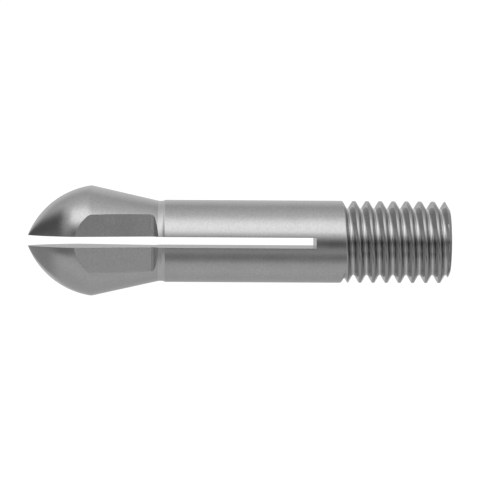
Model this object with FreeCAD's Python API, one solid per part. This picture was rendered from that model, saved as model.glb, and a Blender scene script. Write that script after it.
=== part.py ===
import FreeCAD
import Part
import math
import os

from FreeCAD import Vector

# Two-jaw spring stud: a turned steel pin with a bulb head that is slotted lengthwise into two
# springy jaws, and a male screw thread on the other end. Millimetres.
# X runs along the axis, from the nose to the thread. X = 0 is where the thread starts.
# The slot lies in the XY plane, so one jaw is above it (+Z) and one below it (-Z).

# Lengths along the axis
HEAD_TO_THREAD = 23.95      # widest ring of the head to the start of the thread
NOSE_LENGTH = 6.23          # widest ring to the point where the nose's curve would meet the axis
NECK_LENGTH = 0.45          # stretch between the head's back cone and the shank
NECK_HOLLOW = 0.01          # the neck is this much deeper in its middle, as a round tool leaves it
NECK_CHAMFER_LENGTH = 0.2   # step from the neck up to the shank
SLOT_ROOT_TO_THREAD = 2.75  # solid shank left between the slot's end and the thread
THREAD_LENGTH = 10.0
TIP_CHAMFER_LENGTH = 0.45   # lead-in at the thread's free end

# Diameters and radii
HEAD_DIAMETER = 10.48       # sharp corner of the widest ring, before it is rounded
HEAD_EDGE_RADIUS = 1.0      # rounding of that ring
NOSE_CURVE_RADIUS = 7.71    # bullet-shaped nose, a circular arc in section
NECK_DIAMETER = 7.62
SHANK_DIAMETER = 7.8
TIP_CHAMFER_DEPTH = 0.76    # radial depth of the lead-in chamfer
BACK_CONE_ANGLE = 12.7      # degrees from the axis, behind the widest ring

# Lengthwise slot
SLOT_WIDTH = 1.0

# The two sloping flats on the head, one in front and one behind, where the slot comes out
FLAT_DEPTH = 0.75           # below the widest ring
FLAT_TILT = 15.6            # degrees, deeper towards the thread
FLAT_ROLL = 1.6             # degrees that both flats are turned round the axis from the slot
FLAT_WALL_ANGLE = 64.0      # degrees from the axis, the steep wall at the flat's deep end
FLAT_CORNER_RADIUS = 0.3    # between the flat and that wall
FLAT_END_TO_SHANK = 0.36    # neck left whole between the top of that wall and the step

# Screw thread: M8 coarse, right-hand, one start
PITCH = 1.25
FLANK_ANGLE = 30.0          # degrees, half of the groove's angle
ROOT_RADIUS = 0.12          # rounded bottom of the groove
CREST_WIDTH = 0.25
CREST_TAPER = 0.02          # the crests are this much lower at the free end than at the shank
GROOVE_AT_TOP = 0.3         # the first full groove crosses the top line this far into the thread
RUNOUT_FULL_TURN = 110.0    # degrees back from there over which the groove keeps its full depth
RUNOUT_FADE_TURN = 125.0    # degrees further back over which it rises out of the shank
RUNOUT_LAG = 0.57           # the groove's last point is this far short of where the helix would be
PATH_STEP = 15.0            # degrees between the points that the groove's helix runs through

MARGIN = 1.0                # how far cutting solids reach past what they cut


def tan_deg(angle):
    return math.tan(math.radians(angle))


HEAD_RADIUS = HEAD_DIAMETER / 2
NECK_RADIUS = NECK_DIAMETER / 2
SHANK_RADIUS = SHANK_DIAMETER / 2
HEAD_X = -HEAD_TO_THREAD
NOSE_X = HEAD_X - NOSE_LENGTH
NECK_START_X = HEAD_X + (HEAD_RADIUS - NECK_RADIUS) / tan_deg(BACK_CONE_ANGLE)
NECK_END_X = NECK_START_X + NECK_LENGTH
SHANK_START_X = NECK_END_X + NECK_CHAMFER_LENGTH
SLOT_ROOT_X = -SLOT_ROOT_TO_THREAD
SHARP_ROOT_RADIUS = SHANK_RADIUS - (PITCH - CREST_WIDTH) / 2 / tan_deg(FLANK_ANGLE)
REACH = HEAD_RADIUS + MARGIN


def point(x, r):
    """A point of a lengthwise section, in the XY plane."""
    return Vector(x, r, 0)


def line(a, b):
    return Part.LineSegment(a, b).toShape()


def nose_arc():
    """The nose's curve, from the axis to the widest ring, bulging outwards."""
    start = point(NOSE_X, 0)
    end = point(HEAD_X, HEAD_RADIUS)
    chord = end - start
    rise = NOSE_CURVE_RADIUS - math.sqrt(NOSE_CURVE_RADIUS ** 2 - (chord.Length / 2) ** 2)
    outward = Vector(-chord.y, chord.x, 0).normalize()
    middle = start + chord * 0.5 + outward * rise
    return Part.Arc(start, middle, end).toShape()


def turned_blank():
    """The whole pin as it leaves the lathe, before the slot, the flats and the thread."""
    tip_x = THREAD_LENGTH
    tip_radius = SHANK_RADIUS - CREST_TAPER
    neck_middle_x = (NECK_START_X + NECK_END_X) / 2
    cone = [point(HEAD_X, HEAD_RADIUS), point(NECK_START_X, NECK_RADIUS)]
    neck = [cone[-1], point(neck_middle_x, NECK_RADIUS - NECK_HOLLOW), point(NECK_END_X, NECK_RADIUS)]
    shank = [
        neck[-1],
        point(SHANK_START_X, SHANK_RADIUS),
        point(0, SHANK_RADIUS),
        point(tip_x - TIP_CHAMFER_LENGTH, tip_radius),
        point(tip_x, tip_radius - TIP_CHAMFER_DEPTH),
        point(tip_x, 0),
        point(NOSE_X, 0),
    ]
    edges = [nose_arc(), line(*cone), Part.Arc(*neck).toShape()]
    edges += [line(a, b) for a, b in zip(shank, shank[1:])]
    face = Part.Face(Part.Wire(edges))
    blank = face.revolve(Vector(0, 0, 0), Vector(1, 0, 0), 360)
    widest = [e for e in blank.Edges if is_ring(e, HEAD_X, HEAD_RADIUS)]
    return blank.makeFillet(HEAD_EDGE_RADIUS, widest)


def is_ring(edge, x, radius):
    """True for the full circle of that radius round the axis at x."""
    if edge.Degenerated or not isinstance(edge.Curve, Part.Circle):
        return False
    return abs(edge.Curve.Center.x - x) < 1e-6 and abs(edge.Curve.Radius - radius) < 1e-6


def flat_cutter():
    """What is milled off the back (+Y) of the head: a sloping floor that ends in a steep wall."""
    tilt = math.radians(FLAT_TILT)
    rise = math.radians(FLAT_WALL_ANGLE)
    along = Vector(math.cos(tilt), -math.sin(tilt), 0)
    up_wall = Vector(math.cos(rise), math.sin(rise), 0)
    at_ring = point(HEAD_X, HEAD_RADIUS - FLAT_DEPTH)
    wall_top = point(NECK_END_X - FLAT_END_TO_SHANK, NECK_RADIUS)
    outward = Vector(math.sin(tilt), math.cos(tilt), 0)
    wall_length = (wall_top - at_ring).dot(outward) / up_wall.dot(outward)
    corner = wall_top - up_wall * wall_length
    setback = FLAT_CORNER_RADIUS * math.tan((tilt + rise) / 2)
    floor_end = corner - along * setback
    wall_start = corner + up_wall * setback
    towards_centre = (up_wall - along).normalize()
    to_centre = FLAT_CORNER_RADIUS / math.cos((tilt + rise) / 2)
    arc_middle = corner + towards_centre * (to_centre - FLAT_CORNER_RADIUS)
    floor_start = at_ring - along * (NOSE_LENGTH + MARGIN)
    top_end = wall_top + up_wall * REACH
    top_start = point(floor_start.x, top_end.y)
    outline = Part.Wire([
        line(floor_start, floor_end),
        Part.Arc(floor_end, arc_middle, wall_start).toShape(),
        line(wall_start, top_end),
        line(top_end, top_start),
        line(top_start, floor_start),
    ])
    cutter = Part.Face(outline).extrude(Vector(0, 0, 2 * REACH))
    cutter.translate(Vector(0, 0, -REACH))
    cutter.rotate(Vector(0, 0, 0), Vector(1, 0, 0), FLAT_ROLL)
    return cutter


def groove_x(turn):
    """Where the groove's centre is along the axis after that many degrees of turn.
    Turns are counted from +Y towards +Z, so the top line is at 90."""
    return GROOVE_AT_TOP + PITCH * (turn - 90) / 360


def groove_profile(turn):
    """The thread groove's section in the plane through the axis at that turn."""
    x = groove_x(turn)
    flank = math.radians(FLANK_ANGLE)
    flank_top = SHANK_RADIUS + CREST_WIDTH / 4
    half_width = (flank_top - SHARP_ROOT_RADIUS) * math.tan(flank)
    root_centre = SHARP_ROOT_RADIUS + ROOT_RADIUS / math.sin(flank)
    touch_x = ROOT_RADIUS * math.cos(flank)
    touch_r = root_centre - ROOT_RADIUS * math.sin(flank)
    outer = SHANK_RADIUS + MARGIN
    right = [point(x + touch_x, touch_r), point(x + half_width, flank_top), point(x + half_width, outer)]
    left = [point(x - half_width, outer), point(x - half_width, flank_top), point(x - touch_x, touch_r)]
    corners = right + left
    bottom = Part.Arc(left[-1], point(x, root_centre - ROOT_RADIUS), right[0]).toShape()
    profile = Part.Wire([bottom] + [line(a, b) for a, b in zip(corners, corners[1:])])
    profile.rotate(Vector(0, 0, 0), Vector(1, 0, 0), turn)
    return profile


def full_groove(start_turn):
    """The helical groove at full depth, from start_turn to past the free end."""
    start_x = groove_x(start_turn)
    turns = math.ceil((THREAD_LENGTH + PITCH - start_x) / PITCH)
    helix = Part.makeHelix(PITCH, PITCH * turns, SHANK_RADIUS)
    helix.Placement = FreeCAD.Placement(Vector(0, 0, 0), FreeCAD.Rotation(Vector(1, 1, 1), 120))
    helix.rotate(Vector(0, 0, 0), Vector(1, 0, 0), start_turn)
    helix.translate(Vector(start_x, 0, 0))
    return Part.Wire(helix.Edges).makePipeShell([groove_profile(start_turn)], True, True)


def runout_groove(start_turn):
    """The last part of the groove, which rises out of the shank as the tool is drawn back."""
    steps = math.ceil(RUNOUT_FADE_TURN / PATH_STEP)
    path_points = []
    for i in range(steps + 1):
        share = i / steps
        turn = start_turn - RUNOUT_FADE_TURN * share
        x = groove_x(turn) + RUNOUT_LAG * share
        radius = SHANK_RADIUS + (SHANK_RADIUS - SHARP_ROOT_RADIUS) * share ** 2
        angle = math.radians(turn)
        path_points.append(Vector(x, radius * math.cos(angle), radius * math.sin(angle)))
    path = Part.BSplineCurve()
    path.interpolate(path_points)
    pipe = Part.BRepOffsetAPI.MakePipeShell(Part.Wire(path.toShape()))
    pipe.setBiNormalMode(Vector(1, 0, 0))
    pipe.add(groove_profile(start_turn))
    pipe.build()
    pipe.makeSolid()
    return pipe.shape()


def box_between(low_x, high_x, low_z, high_z):
    """A block that is as deep as the head in Y."""
    return Part.makeBox(high_x - low_x, 2 * REACH, high_z - low_z, Vector(low_x, -REACH, low_z))


def half_turned(shape):
    """The same shape after half a turn round the axis."""
    turned = shape.copy()
    turned.rotate(Vector(0, 0, 0), Vector(1, 0, 0), 180)
    return turned


def make_jaws(blank):
    """The two halves of the slotted length, upper then lower."""
    half_slot = SLOT_WIDTH / 2
    above_slot = box_between(NOSE_X - MARGIN, SLOT_ROOT_X, half_slot, REACH)
    back = flat_cutter()
    front = half_turned(back)
    upper = blank.common(above_slot).cut(front).cut(back)
    return upper, half_turned(upper)


def make_threaded_shank(blank):
    """The solid end of the shank behind the slot, with the thread cut on it."""
    solid_end = box_between(SLOT_ROOT_X, THREAD_LENGTH + MARGIN, -REACH, REACH)
    rises_from = 90 - RUNOUT_FULL_TURN
    return blank.common(solid_end).cut(full_groove(rises_from)).cut(runout_groove(rises_from))


def export(name, shape):
    """Writes one node, as one solid."""
    solids = shape.Solids
    if len(solids) != 1 or not solids[0].isValid():
        raise RuntimeError(f"{name} is not one valid solid")
    solids[0].exportStep(f"parts/{name}.step")
    print(name, f"{solids[0].Volume:.1f} mm3")


os.makedirs("parts", exist_ok=True)
whole = turned_blank()
upper_jaw, lower_jaw = make_jaws(whole)
export("upper_jaw", upper_jaw)
export("lower_jaw", lower_jaw)
export("threaded_shank", make_threaded_shank(whole))
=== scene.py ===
import bmesh
import bpy
import math
import numpy as np
from mathutils import Matrix, Vector


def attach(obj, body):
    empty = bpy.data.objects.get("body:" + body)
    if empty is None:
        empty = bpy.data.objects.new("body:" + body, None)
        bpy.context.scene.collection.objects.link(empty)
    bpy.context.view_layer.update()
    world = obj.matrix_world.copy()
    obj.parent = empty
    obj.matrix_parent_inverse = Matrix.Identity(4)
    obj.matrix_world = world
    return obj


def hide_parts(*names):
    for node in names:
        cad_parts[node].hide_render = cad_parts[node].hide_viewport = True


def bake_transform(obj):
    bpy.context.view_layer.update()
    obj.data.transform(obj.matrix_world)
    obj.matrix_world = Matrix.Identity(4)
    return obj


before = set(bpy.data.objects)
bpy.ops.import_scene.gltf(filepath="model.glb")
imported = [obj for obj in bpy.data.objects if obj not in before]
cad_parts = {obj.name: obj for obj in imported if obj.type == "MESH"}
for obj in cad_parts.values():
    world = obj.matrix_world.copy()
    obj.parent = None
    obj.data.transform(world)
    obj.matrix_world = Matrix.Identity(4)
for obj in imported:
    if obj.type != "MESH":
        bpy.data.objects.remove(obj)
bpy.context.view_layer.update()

# A two-jaw spring stud of turned steel. Lengths are written in millimetres and turned into
# metres only when a mesh is made. X runs along the axis from the nose to the thread, Z is up.

MM = 0.001

# Sizes of the turned piece, the same as in the CAD model
HEAD_X = -23.95
HEAD_RADIUS = 5.24
HEAD_EDGE_RADIUS = 1.0
NOSE_X = -30.18
NOSE_CURVE_RADIUS = 7.71
NECK_RADIUS = 3.81
NECK_LENGTH = 0.45
NECK_HOLLOW = 0.01          # not seen in the photograph: the CAD has it for the mounts check
NECK_CHAMFER_LENGTH = 0.2
SHANK_RADIUS = 3.9
BACK_CONE_ANGLE = 12.7
SLOT_ROOT_X = -2.75
HALF_SLOT = 0.5
FLAT_DEPTH = 0.75
FLAT_TILT = 15.6
FLAT_ROLL = math.radians(1.6)
FLAT_WALL_ANGLE = 64.0
FLAT_CORNER_RADIUS = 0.3
FLAT_END_TO_SHANK = 0.36
EDGE_BREAK = 0.02           # every cut edge is rubbed down a little

# Screw thread
PITCH = 1.25
FLANK_ANGLE = 30.0
ROOT_RADIUS = 0.12
CREST_WIDTH = 0.25
CREST_TAPER = 0.02          # the CAD has it too; also for the mounts check
GROOVE_AT_TOP = 0.3
RUNOUT_FULL_TURN = 110.0
RUNOUT_FADE_TURN = 125.0
RUNOUT_LAG = 0.57
THREAD_LENGTH = 10.0
TIP_CHAMFER_LENGTH = 0.45
TIP_CHAMFER_DEPTH = 0.76
THREAD_FROM_X = -1.0        # the mesh follows the helix from here on

TINY = 1e-9
WELD = 1e-7                 # metres: points this close are one
SHARP_FROM = math.radians(28)


def tan_deg(angle):
    """Tangent of an angle in degrees."""
    return math.tan(math.radians(angle))


NECK_START_X = HEAD_X + (HEAD_RADIUS - NECK_RADIUS) / tan_deg(BACK_CONE_ANGLE)
NECK_END_X = NECK_START_X + NECK_LENGTH
SHANK_START_X = NECK_END_X + NECK_CHAMFER_LENGTH


# ---------------------------------------------------------------- outlines

def nose_centre():
    """Centre (x, r) of the nose's curve, which joins the axis to the widest ring."""
    start = np.array([NOSE_X, 0.0])
    end = np.array([HEAD_X, HEAD_RADIUS])
    chord = end - start
    length = np.hypot(*chord)
    inward = np.array([chord[1], -chord[0]]) / length
    return (start + end) / 2 + inward * math.sqrt(NOSE_CURVE_RADIUS ** 2 - (length / 2) ** 2)


NOSE_CENTRE = nose_centre()


def nose_radius(x):
    """Radius of the nose at x."""
    return NOSE_CENTRE[1] + math.sqrt(max(NOSE_CURVE_RADIUS ** 2 - (x - NOSE_CENTRE[0]) ** 2, 0.0))


def edge_rounding():
    """Centre (x, r) of the arc that rounds the widest ring, inside both the nose and the cone."""
    slope = math.radians(BACK_CONE_ANGLE)
    inset = NOSE_CURVE_RADIUS - HEAD_EDGE_RADIUS
    low, high = HEAD_X - 2, HEAD_X + 2
    for _ in range(60):
        x = (low + high) / 2
        r = NOSE_CENTRE[1] + math.sqrt(inset ** 2 - (x - NOSE_CENTRE[0]) ** 2)
        depth = (HEAD_RADIUS - r) * math.cos(slope) - (x - HEAD_X) * math.sin(slope)
        low, high = (x, high) if depth > HEAD_EDGE_RADIUS else (low, x)
    return x, r


ROUND_X, ROUND_R = edge_rounding()
ROUND_END_X = ROUND_X + HEAD_EDGE_RADIUS * math.sin(math.radians(BACK_CONE_ANGLE))
ROUND_START_X = NOSE_CENTRE[0] + (ROUND_X - NOSE_CENTRE[0]) * NOSE_CURVE_RADIUS / (
    NOSE_CURVE_RADIUS - HEAD_EDGE_RADIUS)


def turned_radius(x):
    """Radius of the turned piece at x, before the slot and the flats."""
    if x <= ROUND_START_X:
        return nose_radius(x)
    if x <= ROUND_END_X:
        return ROUND_R + math.sqrt(HEAD_EDGE_RADIUS ** 2 - (x - ROUND_X) ** 2)
    if x <= NECK_START_X:
        return HEAD_RADIUS - (x - HEAD_X) * tan_deg(BACK_CONE_ANGLE)
    if x <= NECK_END_X:
        off_middle = (2 * (x - NECK_START_X) / NECK_LENGTH - 1) ** 2
        return NECK_RADIUS - NECK_HOLLOW * (1 - off_middle)
    rise = min(1.0, (x - NECK_END_X) / NECK_CHAMFER_LENGTH)
    return NECK_RADIUS + (SHANK_RADIUS - NECK_RADIUS) * rise


def flat_outline():
    """(floor end, wall start, wall top) of the flat's section, and its corner's centre, as (x, y)."""
    tilt, rise = math.radians(FLAT_TILT), math.radians(FLAT_WALL_ANGLE)
    along = np.array([math.cos(tilt), -math.sin(tilt)])
    outward = np.array([math.sin(tilt), math.cos(tilt)])
    up_wall = np.array([math.cos(rise), math.sin(rise)])
    at_ring = np.array([HEAD_X, HEAD_RADIUS - FLAT_DEPTH])
    wall_top = np.array([NECK_END_X - FLAT_END_TO_SHANK, NECK_RADIUS])
    corner = wall_top - up_wall * ((wall_top - at_ring) @ outward) / (up_wall @ outward)
    setback = FLAT_CORNER_RADIUS * math.tan((tilt + rise) / 2)
    floor_end = corner - along * setback
    return floor_end, corner + up_wall * setback, wall_top, floor_end + outward * FLAT_CORNER_RADIUS


FLOOR_END, WALL_START, WALL_TOP, CORNER_CENTRE = flat_outline()


def flat_distance(x):
    """How far the flat, its corner or its end wall is from the axis at x."""
    if x <= FLOOR_END[0]:
        return HEAD_RADIUS - FLAT_DEPTH - (x - HEAD_X) * tan_deg(FLAT_TILT)
    if x <= WALL_START[0]:
        return CORNER_CENTRE[1] - math.sqrt(FLAT_CORNER_RADIUS ** 2 - (x - CORNER_CENTRE[0]) ** 2)
    return WALL_START[1] + (x - WALL_START[0]) * tan_deg(FLAT_WALL_ANGLE)


def crease_angle(x, roll):
    """Angle above the slot's plane where the flat meets the turned surface, on the side of the
    jaw where the flats lean by roll. It is at the slot's edge where there is no flat."""
    radius = turned_radius(x)
    lowest = math.asin(min(1.0, HALF_SLOT / max(radius, TINY)))
    return max(lowest, math.acos(min(1.0, flat_distance(x) / max(radius, TINY))) + roll)


def crossing(test, low, high):
    """Where test turns true between low and high."""
    for _ in range(60):
        middle = (low + high) / 2
        low, high = (low, middle) if test(middle) else (middle, high)
    return high


def has_flat(x, roll):
    """Whether the flat shows above the slot at x, on the side where the flats lean by roll."""
    return turned_radius(x) * math.sin(crease_angle(x, roll)) > HALF_SLOT + 1e-7


SIDE_ROLLS = (FLAT_ROLL, -FLAT_ROLL)
TIP_X = crossing(lambda x: nose_radius(x) > HALF_SLOT, NOSE_X, HEAD_X)
FLAT_STARTS = sorted(crossing(lambda x: has_flat(x, roll), TIP_X, HEAD_X) for roll in SIDE_ROLLS)
FLAT_ENDS = sorted(crossing(lambda x: not has_flat(x, roll), FLOOR_END[0], WALL_TOP[0] + 0.1)
                   for roll in SIDE_ROLLS)


# ---------------------------------------------------------------- meshes

def new_piece(name, points, faces, finish_of, materials):
    """A mesh object in metres from points in millimetres, welded, with its normals outward.
    finish_of gives the place in materials for a face from its centre in millimetres."""
    mesh = bpy.data.meshes.new(name)
    mesh.from_pydata([Vector(p) * MM for p in points], [], faces)
    bm = bmesh.new()
    bm.from_mesh(mesh)
    bmesh.ops.remove_doubles(bm, verts=bm.verts, dist=WELD)
    bmesh.ops.dissolve_degenerate(bm, dist=WELD, edges=bm.edges)
    bmesh.ops.recalc_face_normals(bm, faces=bm.faces)
    bm.to_mesh(mesh)
    bm.free()
    mesh.shade_smooth()
    mesh.set_sharp_from_angle(angle=SHARP_FROM)
    piece = bpy.data.objects.new(name, mesh)
    bpy.context.scene.collection.objects.link(piece)
    for material in materials:
        piece.data.materials.append(material)
    for polygon in mesh.polygons:
        polygon.material_index = finish_of(polygon.center / MM)
    return piece


def curve_corner(before, corner, after, steps):
    """Points of a small round from before to after, pulled towards the corner."""
    shares = [i / steps for i in range(steps + 1)]
    return [before * (1 - s) ** 2 + corner * 2 * s * (1 - s) + after * s ** 2 for s in shares]


def spaced(low, high, count, power=1.0):
    """count + 1 values from low to high, closer together near low when power is over 1."""
    return [low + (high - low) * (i / count) ** power for i in range(count + 1)]


WALL_STEPS = 10
FLAT_STEPS = 10
ARC_STEPS = 60
CORNER_STEPS = 3
SUPPORT = 0.03              # a line of points this close to each rounded edge keeps it crisp


def side_walker(x, roll):
    """A function of the distance along one side of the jaw from the slot's edge: up the flat,
    where there is one, and then round the turned surface. Also gives both lengths."""
    radius = turned_radius(x)
    angle = crease_angle(x, roll)
    crease = radius * np.array([math.cos(angle), math.sin(angle)])
    if has_flat(x, roll):
        distance = flat_distance(x)
        edge = np.array([(distance - HALF_SLOT * math.sin(roll)) / math.cos(roll), HALF_SLOT])
        flat_length = np.hypot(*(crease - edge))
        up_flat = (crease - edge) / max(flat_length, TINY)
    else:
        edge, flat_length, up_flat = crease, 0.0, np.zeros(2)

    def walk(s):
        if s <= flat_length:
            return edge + up_flat * s
        turned = angle + (s - flat_length) / max(radius, TINY)
        return radius * np.array([math.cos(turned), math.sin(turned)])

    return walk, flat_length, radius * (math.pi / 2 - angle)


def half_section(x, roll):
    """One side of the jaw's outline at x, from the middle of the slot's wall to the top."""
    walk, flat_length, arc_length = side_walker(x, roll)
    corner = walk(0.0)
    total = flat_length + arc_length
    fade = min(1.0, (SLOT_ROOT_X - x) / 0.5 + 0.02)
    edge = min(EDGE_BREAK * fade, 0.3 * corner[0], 0.2 * total)
    near = min(SUPPORT, 0.2 * corner[0], 0.1 * total)
    wall_end = np.array([corner[0] - edge, HALF_SLOT])
    outline = [np.array([y, HALF_SLOT]) for y in spaced(0.0, wall_end[0] - near, WALL_STEPS)]
    outline += curve_corner(wall_end, corner, walk(edge), CORNER_STEPS)
    crease = max(flat_length, edge)
    room = 0.45 * (crease - edge)
    crease_edge = min(EDGE_BREAK, room)
    low = edge + min(SUPPORT, 0.2 * room)
    high = crease - crease_edge - min(SUPPORT, 0.2 * room)
    outline += [walk(s) for s in spaced(low, max(low, high), FLAT_STEPS)]
    crease_end = crease + crease_edge
    outline += curve_corner(walk(crease - crease_edge), walk(crease), walk(crease_end), CORNER_STEPS)
    outline += [walk(s) for s in spaced(crease_end + near, total, ARC_STEPS)]
    return outline


def jaw_section(x):
    """The upper jaw's outline at x as (y, z) points, going round once from the wall's middle."""
    back, front = (half_section(x, roll) for roll in SIDE_ROLLS)
    return back + [np.array([-p[0], p[1]]) for p in reversed(front[1:-1])]


def jaw_stations():
    """Where along the axis the jaw is cut into sections."""
    near = SUPPORT
    groups = [
        spaced(TIP_X, FLAT_STARTS[0], 44, 1.8),
        spaced(*FLAT_STARTS, 8, 1.5),
        spaced(FLAT_STARTS[1], ROUND_START_X, 26, 2.0),
        spaced(ROUND_START_X, ROUND_END_X, 10),
        spaced(ROUND_END_X, FLOOR_END[0] - near, 30),
        spaced(FLOOR_END[0], WALL_START[0], 8),
        spaced(WALL_START[0], FLAT_ENDS[0], 12),
        spaced(*FLAT_ENDS, 3),
        [NECK_START_X - near, NECK_START_X, NECK_START_X + near],
        spaced(NECK_START_X + near, NECK_END_X - near, 6),
        [NECK_END_X, NECK_END_X + near],
        [SHANK_START_X - near, SHANK_START_X, SHANK_START_X + near],
        spaced(SHANK_START_X + 2 * near, SLOT_ROOT_X, 70),
    ]
    ordered = sorted({round(x, 6) for group in groups for x in group})
    kept = [ordered[0]]
    for x in ordered[1:]:
        if x - kept[-1] > 1e-3:
            kept.append(x)
    return kept


# Finishes, by their place in a piece's materials. The neck's and the root's tones are painted light, and
# the crest's tone is painted shade.
TURNED, SAWN, CUT, MILLED, NECK_PAINTED_LIGHT, CREST_PAINTED_SHADE, ROOT_PAINTED_LIGHT = range(7)
GROOVE_FROM_DEPTH = 0.045   # below the shank's radius
# Deeper than this, the thread's root is painted light.
ROOT_PAINTED_LIGHT_FROM_DEPTH = 0.69
FLAT_FROM_DEPTH = 0.004     # below the turned surface


def jaw_finish(centre):
    """Sawn on the slot's wall, milled on the flats, and turned elsewhere. The flats' rounded corners and
    the neck take the neck's finish, which is rougher and has painted light.
    """
    if abs(centre.z) < HALF_SLOT + 1e-4:
        return SAWN
    if math.hypot(centre.y, centre.z) < turned_radius(centre.x) - FLAT_FROM_DEPTH:
        # The flats' rounded corners, like the neck, take the neck's finish with its painted light.
        return NECK_PAINTED_LIGHT if FLOOR_END[0] < centre.x < WALL_START[0] else MILLED
    return NECK_PAINTED_LIGHT if NECK_START_X < centre.x < SHANK_START_X else TURNED


def shank_finish(centre):
    """Cut in the thread's groove, with painted shade on its crests and painted light at its
    root, sawn at the slot's root, and turned elsewhere."""
    if centre.x < SLOT_ROOT_X + 1e-4:
        return SAWN
    if centre.x > THREAD_LENGTH - 1e-4:
        return TURNED
    depth = SHANK_RADIUS - math.hypot(centre.y, centre.z)
    if depth > GROOVE_FROM_DEPTH:
        # The thread's root is painted light.
        return ROOT_PAINTED_LIGHT if depth > ROOT_PAINTED_LIGHT_FROM_DEPTH else CUT
    # The crests are painted shade.
    return CREST_PAINTED_SHADE if centre.x > PITCH / 2 else TURNED


def jaw_mesh(name, side, materials):
    """One spring jaw as a closed mesh. side is 1 for the upper one, and -1 for the lower one,
    which is the same after half a turn round the axis."""
    stations = jaw_stations()
    sections = [jaw_section(x) for x in stations]
    ring = len(sections[0])
    points = [(x, side * p[0], side * p[1]) for x, section in zip(stations, sections) for p in section]
    faces = []
    for i in range(len(stations) - 1):
        for j in range(ring):
            k = (j + 1) % ring
            faces.append((i * ring + j, i * ring + k, (i + 1) * ring + k, (i + 1) * ring + j))
    last = (len(stations) - 1) * ring
    faces += cap_faces(last, ring)
    return new_piece(name, points, faces, jaw_finish, materials)


def cap_faces(first, ring):
    """Fills a ring that is the same on both sides of its first point with strips across it."""
    faces = []
    for j in range(ring // 2):
        a, b = first + j, first + j + 1
        c, d = first + (ring - j - 1) % ring, first + (ring - j) % ring
        face = []
        for v in (a, b, c, d):
            if v not in face:
                face.append(v)
        if len(face) > 2:
            faces.append(tuple(face))
    return faces


# ---------------------------------------------------------------- thread

FLANK = math.radians(FLANK_ANGLE)
SHARP_DEPTH = (PITCH - CREST_WIDTH) / 2 / math.tan(FLANK)
GROOVE_HALF_WIDTH = (PITCH - CREST_WIDTH) / 2
ROUND_TOP = ROOT_RADIUS * math.cos(FLANK)
TURN_STEPS = 216
CREST_SOFTNESS = 0.06       # rounding of the crest's edges


def groove_depth(off_centre, lift):
    """Depth of the thread groove below the crest, off_centre millimetres from its middle."""
    v = abs(off_centre)
    if v < ROUND_TOP:
        bottom = SHARP_DEPTH - ROOT_RADIUS / math.sin(FLANK) + math.sqrt(ROOT_RADIUS ** 2 - v ** 2)
    else:
        bottom = SHARP_DEPTH - v / math.tan(FLANK)
    return bottom - lift


def soft_top(depth, softness):
    """depth where it is positive and 0 where it isn't, with a small round between the two."""
    return (depth + math.sqrt(depth ** 2 + softness ** 2)) / 2


def depth_at(x, turn):
    """Depth at x of the groove that passes there at that turn, in degrees along the helix."""
    fade = max(0.0, (90 - RUNOUT_FULL_TURN - turn) / RUNOUT_FADE_TURN)
    centre = GROOVE_AT_TOP + PITCH * (turn - 90) / 360 + RUNOUT_LAG * fade
    return groove_depth(x - centre, SHARP_DEPTH * fade ** 2)


def threaded_radius(x, angle):
    """Radius of the threaded stretch at x, angle degrees round from +Y towards +Z."""
    crest = SHANK_RADIUS - CREST_TAPER * min(max(x / THREAD_LENGTH, 0.0), 1.0)
    nearest = round((x - GROOVE_AT_TOP) / PITCH - (angle - 90) / 360)
    depth = max(depth_at(x, angle + 360 * (nearest + step)) for step in (-1, 0, 1))
    radius = crest - soft_top(depth, CREST_SOFTNESS)
    chamfer_from = THREAD_LENGTH - TIP_CHAMFER_LENGTH
    if x > chamfer_from:
        slope = TIP_CHAMFER_DEPTH / TIP_CHAMFER_LENGTH
        radius = min(radius, crest - (x - chamfer_from) * slope)
    return radius


def groove_rows():
    """Offsets from a groove's middle to the next one's, where the mesh has a line of points."""
    root = [ROOT_RADIUS * math.sin(a) for a in spaced(0.0, math.pi / 2 - FLANK, 4)]
    flank = spaced(ROUND_TOP, GROOVE_HALF_WIDTH - 0.03, 7)[1:]
    crest = [GROOVE_HALF_WIDTH + d for d in (-0.015, 0.0, 0.015, 0.03)] + [PITCH / 2]
    half = root + flank + crest
    return half + [PITCH - v for v in reversed(half[1:-1])]


def shank_mesh(name, materials):
    """The solid end of the shank and its thread. Past THREAD_FROM_X the lines of points lie along
    the helix, and where they would pass either end of the stretch they are held at it."""
    rows = groove_rows()
    per_pitch = len(rows)
    turns = math.ceil((THREAD_LENGTH - THREAD_FROM_X) / PITCH) + 2
    first_turn = -math.ceil((GROOVE_AT_TOP - THREAD_FROM_X) / PITCH) - 1
    points, faces = [], []
    count = turns * per_pitch + 1
    for j in range(TURN_STEPS):
        angle = 360.0 * j / TURN_STEPS
        for i in range(count):
            pitch_index = first_turn + i // per_pitch
            offset = rows[i % per_pitch]
            x = GROOVE_AT_TOP + PITCH * (pitch_index + (angle - 90) / 360) + offset
            held = min(max(x, THREAD_FROM_X), THREAD_LENGTH)
            radius = threaded_radius(held, angle)
            a = math.radians(angle)
            points.append((held, radius * math.cos(a), radius * math.sin(a)))
    for j in range(TURN_STEPS):
        for i in range(count - 1):
            if j < TURN_STEPS - 1:
                a, b = (j + 1) * count + i, (j + 1) * count + i + 1
            elif i + 1 + per_pitch < count:
                a, b = i + per_pitch, i + 1 + per_pitch
            else:
                continue
            faces.append((j * count + i, a, b, j * count + i + 1))
    return new_piece(name, *with_ends(points, faces), shank_finish, materials)


def ring_points(x, radius):
    """Points of a circle round the axis at x."""
    turns = [2 * math.pi * j / TURN_STEPS for j in range(TURN_STEPS)]
    return [(x, radius * math.cos(a), radius * math.sin(a)) for a in turns]


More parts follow.
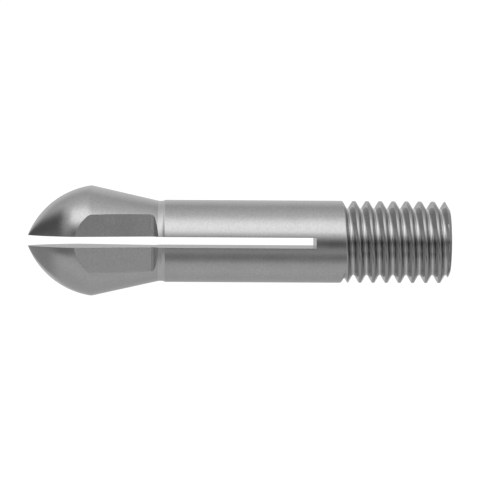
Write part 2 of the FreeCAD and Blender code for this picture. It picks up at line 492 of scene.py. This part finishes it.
def with_ends(points, faces):
    """Adds the plain stretch up to the slot's root and closes both ends with rings of faces."""
    tip_radius = SHANK_RADIUS - CREST_TAPER - TIP_CHAMFER_DEPTH
    rings = [(THREAD_FROM_X, SHANK_RADIUS), (SLOT_ROOT_X / 2, SHANK_RADIUS), (SLOT_ROOT_X, SHANK_RADIUS)]
    rings += [(SLOT_ROOT_X, SHANK_RADIUS * share) for share in (0.9, 0.6, 0.3)]
    start = join_rings(points, faces, rings)
    close_ring(points, faces, start, SLOT_ROOT_X)
    ends = [(THREAD_LENGTH, tip_radius * share) for share in (1.0, 0.97, 0.6, 0.3)]
    start = join_rings(points, faces, ends)
    close_ring(points, faces, start, THREAD_LENGTH)
    return points, faces


def join_rings(points, faces, rings):
    """Adds circles, joined one to the next, and gives the index where the last one starts."""
    starts = []
    for x, radius in rings:
        starts.append(len(points))
        points += ring_points(x, radius)
    for a, b in zip(starts, starts[1:]):
        for j in range(TURN_STEPS):
            k = (j + 1) % TURN_STEPS
            faces.append((a + j, a + k, b + k, b + j))
    return starts[-1]


def close_ring(points, faces, start, x):
    """Closes the circle that starts at that index with triangles round a point on the axis."""
    centre = len(points)
    points.append((x, 0.0, 0.0))
    for j in range(TURN_STEPS):
        faces.append((start + j, start + (j + 1) % TURN_STEPS, centre))


# ---------------------------------------------------------------- materials

NODES_IN_ROW = 8


def add_node(tree, kind, **values):
    """A new shader node with its inputs set by name, and its properties where it has them.
    Nodes are laid out in rows to the left of the shader, in the order they are made."""
    count = len(tree.nodes)
    node = tree.nodes.new(kind)
    node.location = (-2000 + 200 * (count % NODES_IN_ROW), -300 * (count // NODES_IN_ROW))
    for name, value in values.items():
        if hasattr(node, name):
            setattr(node, name, value)
        else:
            node.inputs[name.replace("_", " ")].default_value = value
    return node


def math_node(tree, operation, a, b=0.0):
    """The result of an operation on two values, each a number or a socket."""
    node = add_node(tree, "ShaderNodeMath", operation=operation)
    for socket, value in zip(node.inputs, (a, b)):
        if isinstance(value, (int, float)):
            socket.default_value = value
        else:
            tree.links.new(value, socket)
    return node.outputs[0]


def weighted(tree, *pairs):
    """The sum of values, each times its weight."""
    total = 0.0
    for value, weight in pairs:
        total = math_node(tree, "ADD", math_node(tree, "MULTIPLY", value, weight), total)
    return total


def noise(tree, place, scale, detail, roughness):
    """Smooth noise at a place in the object, in metres."""
    node = add_node(tree, "ShaderNodeTexNoise", Scale=scale, Detail=detail, Roughness=roughness)
    tree.links.new(place, node.inputs["Vector"])
    return node.outputs[0]


def steel(name, roughness, tone, relief):
    """Turned or cut steel: fine and broad rings round the axis, faint smudges and grain.
    roughness and tone are (lowest, highest), and relief is the bump's height in metres."""
    material = bpy.data.materials.new(name)
    material.use_nodes = True
    tree = material.node_tree
    links = tree.links
    shader = tree.nodes["Principled BSDF"]
    shader.inputs["Metallic"].default_value = 1.0

    place = add_node(tree, "ShaderNodeTexCoord").outputs["Object"]
    parts = add_node(tree, "ShaderNodeSeparateXYZ")
    links.new(place, parts.inputs[0])
    along = add_node(tree, "ShaderNodeCombineXYZ")
    links.new(parts.outputs[0], along.inputs[0])
    rings = noise(tree, along.outputs[0], 16000.0, 3.0, 0.7)
    broad_rings = noise(tree, along.outputs[0], 1500.0, 2.0, 0.5)
    smudges = noise(tree, place, 260.0, 4.0, 0.6)
    grain = noise(tree, place, 4500.0, 3.0, 0.7)

    colour = add_node(tree, "ShaderNodeValToRGB")
    for element, position, level in zip(colour.color_ramp.elements, (0.32, 0.68), tone):
        element.position = position
        element.color = (level, level, level, 1)
    links.new(weighted(tree, (rings, 0.3), (smudges, 0.3), (grain, 0.4)), colour.inputs[0])
    links.new(colour.outputs[0], shader.inputs["Base Color"])

    rough = add_node(tree, "ShaderNodeMapRange", From_Min=0.3, From_Max=0.7,
                     To_Min=roughness[0], To_Max=roughness[1])
    links.new(smudges, rough.inputs["Value"])
    links.new(rough.outputs[0], shader.inputs["Roughness"])

    bump = add_node(tree, "ShaderNodeBump", Strength=0.3, Distance=relief)
    links.new(weighted(tree, (rings, 0.6), (broad_rings, 1.2), (grain, 0.25)), bump.inputs["Height"])
    links.new(bump.outputs[0], shader.inputs["Normal"])
    return material


# ---------------------------------------------------------------- studio

# Brightness of the surroundings, as (degrees round the object's axis, level). 0 is the camera's
# side, 90 straight up, 180 behind and -90 straight down. It is bright above the camera and dark
# round it. Reflections at the far left and right see the other two lists. This isn't a plain
# studio: the levels were worked out from grey levels in the photograph and then adjusted.
SOFTBOX_SIDE = [(-180, 0.75), (-157, 0.48), (-128, 0.47), (-90, 0.53), (-65, 0.48), (-56, 0.33),
                (-46, 0.23), (-37, 0.25), (-29, 0.37), (-20, 0.32), (-11, 0.17), (-3, 0.10),
                (6, 0.24), (22, 0.84), (29, 1.28), (48, 1.31), (59, 1.14), (68, 0.88), (78, 0.69),
                (103, 0.53), (116, 0.49), (134, 0.64), (180, 0.75)]
LEFT_SIDE = [(-180, 0.48), (-170, 0.62), (-150, 0.62), (-120, 0.50), (-60, 0.52), (-30, 0.44),
             (-18, 0.34), (4, 0.26), (30, 0.46), (60, 0.52), (116, 0.58), (150, 0.48), (180, 0.40)]
RIGHT_SIDE = [(-180, 0.22), (-140, 0.24), (-112, 0.48), (-60, 0.52), (-30, 0.44), (-18, 0.34),
              (-6, 0.40), (-4, 0.28), (4, 0.25), (12, 0.42), (22, 0.72), (45, 0.74), (66, 0.56),
              (116, 0.52), (150, 0.42), (180, 0.34)]
SOFTBOX_LEAN = math.radians(38)     # the bright part is higher at its left end
LEFT_FROM = (-0.66, -0.76)  # the left side fades in between these parts of a direction's X
RIGHT_FROM = (0.30, 0.45)
BACKDROP = 0.55             # what the steel mirrors straight behind the object
WHITE = 1.05                # the plain background and floor, which only the camera sees

# Dark cards left of the nose, found in the same way: right edge and its softness, lowest and
# highest edges in degrees, and brightness
CARDS = [(-0.38, 0.05, 0, 29, 0.42), (-0.48, 0.04, 0, 30, 0.11), (-0.34, 0.05, -16, -2, 0.21),
         (-0.50, 0.20, -60, -14, 0.32)]
CARD_FADE = 0.40            # radians over which a card's top edge fades


def brightness_ramp(tree, angle, stops):
    """The brightness at an angle in radians."""
    share = add_node(tree, "ShaderNodeMapRange", From_Min=-math.pi, From_Max=math.pi)
    tree.links.new(angle, share.inputs["Value"])
    ramp = add_node(tree, "ShaderNodeValToRGB")
    elements = ramp.color_ramp.elements
    for i, (degrees, level) in enumerate(stops):
        position = (degrees + 180) / 360
        element = elements[i] if i < 2 else elements.new(position)
        element.position = position
        element.color = (level, level, level, 1)
    tree.links.new(share.outputs[0], ramp.inputs[0])
    return ramp.outputs[0]


def fade(tree, value, none_at, full_at):
    """Smoothly from 0 where value is none_at to 1 where it is full_at."""
    rising = none_at < full_at
    node = add_node(tree, "ShaderNodeMapRange", interpolation_type="SMOOTHSTEP",
                    From_Min=min(none_at, full_at), From_Max=max(none_at, full_at),
                    To_Min=0.0 if rising else 1.0, To_Max=1.0 if rising else 0.0)
    tree.links.new(value, node.inputs["Value"])
    return node.outputs[0]


def mixed(tree, share, a, b):
    """a where share is 0, and b where it is 1."""
    mix = add_node(tree, "ShaderNodeMix", data_type="RGBA")
    tree.links.new(share, mix.inputs[0])
    for socket, value in ((mix.inputs[6], a), (mix.inputs[7], b)):
        if isinstance(value, float):
            socket.default_value = (value, value, value, 1)
        else:
            tree.links.new(value, socket)
    return mix.outputs[2]


def walls(tree, x, y, z):
    """The room's brightness in a direction, from the three ramps."""
    angle = math_node(tree, "ARCTAN2", z, math_node(tree, "MULTIPLY", y, -1.0))
    lean = math_node(tree, "MULTIPLY", math_node(tree, "MINIMUM", x, 0.0), SOFTBOX_LEAN)
    room = brightness_ramp(tree, math_node(tree, "ADD", angle, lean), SOFTBOX_SIDE)
    for edges, stops in ((LEFT_FROM, LEFT_SIDE), (RIGHT_FROM, RIGHT_SIDE)):
        room = mixed(tree, fade(tree, x, *edges), room, brightness_ramp(tree, angle, stops))
    return room


def with_cards(tree, room, x, y, z):
    """The room with its dark cards, whose edges look straight in the nose's curve."""
    away = math_node(tree, "SUBTRACT", 1.0, y)
    spread = math_node(tree, "SQRT", math_node(tree, "MULTIPLY", away, 2.0))
    sideways = math_node(tree, "DIVIDE", x, spread)
    upward = math_node(tree, "ARCTAN2", z, away)
    for edge, softness, lowest, highest, brightness in CARDS:
        low, high = math.radians(lowest), math.radians(highest)
        share = fade(tree, sideways, edge, edge - softness)
        share = math_node(tree, "MULTIPLY", share, fade(tree, upward, low - 0.08, low + 0.04))
        share = math_node(tree, "MULTIPLY", share, fade(tree, upward, high + CARD_FADE, high - 0.04))
        room = mixed(tree, share, room, brightness)
    return room


def studio():
    """Surroundings in place of lamps, which light the steel by direction. The camera itself
    sees plain white instead."""
    world = bpy.data.worlds.new("studio")
    bpy.context.scene.world = world
    world.use_nodes = True
    tree = world.node_tree
    direction = add_node(tree, "ShaderNodeTexCoord").outputs["Generated"]
    parts = add_node(tree, "ShaderNodeSeparateXYZ")
    tree.links.new(direction, parts.inputs[0])
    x, y, z = parts.outputs

    room = with_cards(tree, walls(tree, x, y, z), x, y, z)
    level = fade(tree, math_node(tree, "ABSOLUTE", z), 0.30, 0.20)
    behind = math_node(tree, "MULTIPLY", level, fade(tree, y, 0.88, 0.95))
    room = mixed(tree, behind, room, BACKDROP)
    to_camera = add_node(tree, "ShaderNodeLightPath").outputs["Is Camera Ray"]
    tree.links.new(mixed(tree, to_camera, room, WHITE), tree.nodes["Background"].inputs["Color"])


FLOOR_HEIGHT = -6.0 * MM    # just below the object
FLOOR_REACH = 2.0           # metres each way


def floor():
    """A plain pale floor that only the camera sees: it takes no shadow, and the steel doesn't
    mirror it. Its underside is clear, so that the object shows from below too."""
    corners = [(x * FLOOR_REACH, y * FLOOR_REACH, FLOOR_HEIGHT)
               for x, y in ((-1, -1), (1, -1), (1, 1), (-1, 1))]
    mesh = bpy.data.meshes.new("floor")
    mesh.from_pydata(corners, [], [(0, 1, 2, 3)])
    obj = bpy.data.objects.new("floor", mesh)
    bpy.context.scene.collection.objects.link(obj)
    obj.visible_glossy = False
    obj.visible_diffuse = False
    obj.visible_shadow = False

    material = bpy.data.materials.new("pale_floor")
    material.use_nodes = True
    tree = material.node_tree
    tree.nodes.remove(tree.nodes["Principled BSDF"])
    pale = add_node(tree, "ShaderNodeEmission", Color=(WHITE, WHITE, WHITE, 1))
    clear = add_node(tree, "ShaderNodeBsdfTransparent")
    side = add_node(tree, "ShaderNodeNewGeometry")
    mix = add_node(tree, "ShaderNodeMixShader")
    tree.links.new(side.outputs["Backfacing"], mix.inputs[0])
    tree.links.new(pale.outputs[0], mix.inputs[1])
    tree.links.new(clear.outputs[0], mix.inputs[2])
    tree.links.new(mix.outputs[0], tree.nodes["Material Output"].inputs["Surface"])
    mesh.materials.append(material)
    return obj


# ---------------------------------------------------------------- camera

CAMERA_DISTANCE = 0.236
CAMERA_HEIGHT = 2.2         # degrees above the horizon
CAMERA_SIDE = 0.65          # degrees round towards the nose
CAMERA_ROLL = 0.34          # degrees
CAMERA_TARGET = Vector((-9.87, 0.0, 0.12)) * MM
LENS, SENSOR = 186.4, 36.0


def camera():
    """The camera, at the photograph's viewing angle."""
    data = bpy.data.cameras.new("camera")
    data.lens, data.sensor_width = LENS, SENSOR
    data.clip_start, data.clip_end = 0.01, 20
    obj = bpy.data.objects.new("camera", data)
    bpy.context.scene.collection.objects.link(obj)
    height, side = math.radians(CAMERA_HEIGHT), math.radians(CAMERA_SIDE)
    level = math.cos(height)
    back = Vector((-math.sin(side) * level, -math.cos(side) * level, math.sin(height)))
    obj.location = CAMERA_TARGET + back * CAMERA_DISTANCE
    turned = (-back).to_track_quat("-Z", "Y").to_matrix()
    roll = Matrix.Rotation(math.radians(CAMERA_ROLL), 3, "Z")
    obj.rotation_euler = (turned @ roll).to_euler()
    bpy.context.scene.camera = obj


# ---------------------------------------------------------------- the object

def finishes(flats):
    """A piece's finishes, in their order from TURNED on. flats is the milled flats' tone, painted
    lighter
    for the lower jaw: painted light.
    The tones differ to match the photograph's light and dark areas: it is all one steel."""
    return [
        steel("turned_steel", (0.15, 0.24), (0.48, 0.63), 0.000004),
        steel("sawn_steel", (0.13, 0.19), (0.50, 0.62), 0.000003),
        steel("cut_steel", (0.06, 0.12), (0.45, 0.56), 0.000003),
        # The milled flats' tone is painted lighter for the lower jaw: painted light.
        steel("milled_steel_painted_light_and_shade", (0.18, 0.28), (flats - 0.12, flats + 0.12), 0.000012),
        # The neck is rougher, and its tone is painted light.
        steel("neck_steel_painted_light", (0.30, 0.40), (0.62, 0.72), 0.000004),
        # The crest's tone is painted shade.
        steel("crest_steel_painted_shade", (0.14, 0.22), (0.42, 0.50), 0.000003),
        # The root's tone is painted light.
        steel("root_steel_painted_light", (0.09, 0.15), (0.70, 0.80), 0.000003),
    ]


# The lower jaw's milled flats are painted lighter than the upper jaw's: painted light on one steel.
UPPER_FINISHES = finishes(0.55)
LOWER_FINISHES_PAINTED_LIGHT = finishes(0.72)
shank = shank_mesh("threaded_shank_steel", UPPER_FINISHES)
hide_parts("threaded_shank")
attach(shank, "shank")

for node, side, materials in (("upper_jaw", 1, UPPER_FINISHES), ("lower_jaw", -1, LOWER_FINISHES_PAINTED_LIGHT)):
    jaw = jaw_mesh(node + "_steel", side, materials)
    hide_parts(node)
    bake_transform(jaw)

studio()
floor()
camera()
bpy.context.scene.view_settings.view_transform = "Standard"
